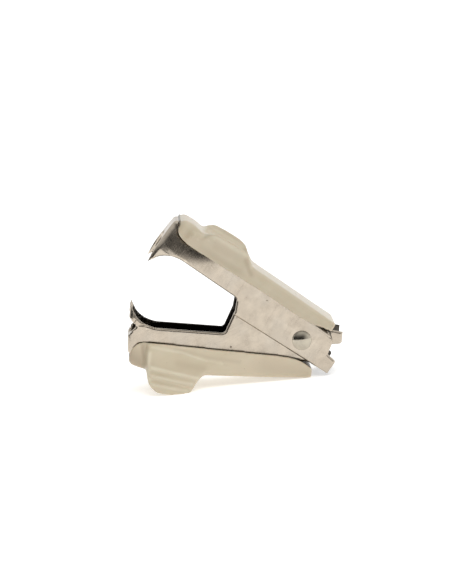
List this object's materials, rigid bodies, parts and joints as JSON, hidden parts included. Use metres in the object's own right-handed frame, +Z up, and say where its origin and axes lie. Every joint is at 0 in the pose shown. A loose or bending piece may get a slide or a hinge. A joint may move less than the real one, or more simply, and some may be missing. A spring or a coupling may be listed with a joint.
{
  "type": "staple remover",
  "caption": "Claw-type staple remover: two nested steel jaws on a rivet, sprung open, with moulded beige finger grips.",
  "frame": {"origin": "centre of the footprint, on the surface that the remover stands on", "axes": "+Z up, claws towards -X, rivet axis parallel to Y with its domed head on the -Y side"},
  "size_m": [0.057, 0.021, 0.0455],
  "materials": {
    "jaw_steel": "satin nickel plate",
    "grip_plastic": "moulded, semi-gloss",
    "rivet_steel": "polished nickel plate",
    "spring_steel": "drawn spring wire"
  },
  "bodies": {
    "lower_side": {"lower_jaw": "jaw_steel", "lower_grip": "grip_plastic", "torsion_spring": "spring_steel"},
    "upper_side": {"upper_jaw": "jaw_steel", "upper_grip": "grip_plastic", "pivot_rivet": "rivet_steel"}
  },
  "joints": [
    {"name": "jaw_hinge", "type": "hinge", "parent": "lower_side", "child": "upper_side", "pos_m": [0.01743, 0, 0.0103], "axis": [0, -1, 0], "range_deg": [0, 22], "stiffness_Nm_per_rad": 0.12, "springref_deg": -17.19, "deforming": ["torsion_spring"]}
  ]
}
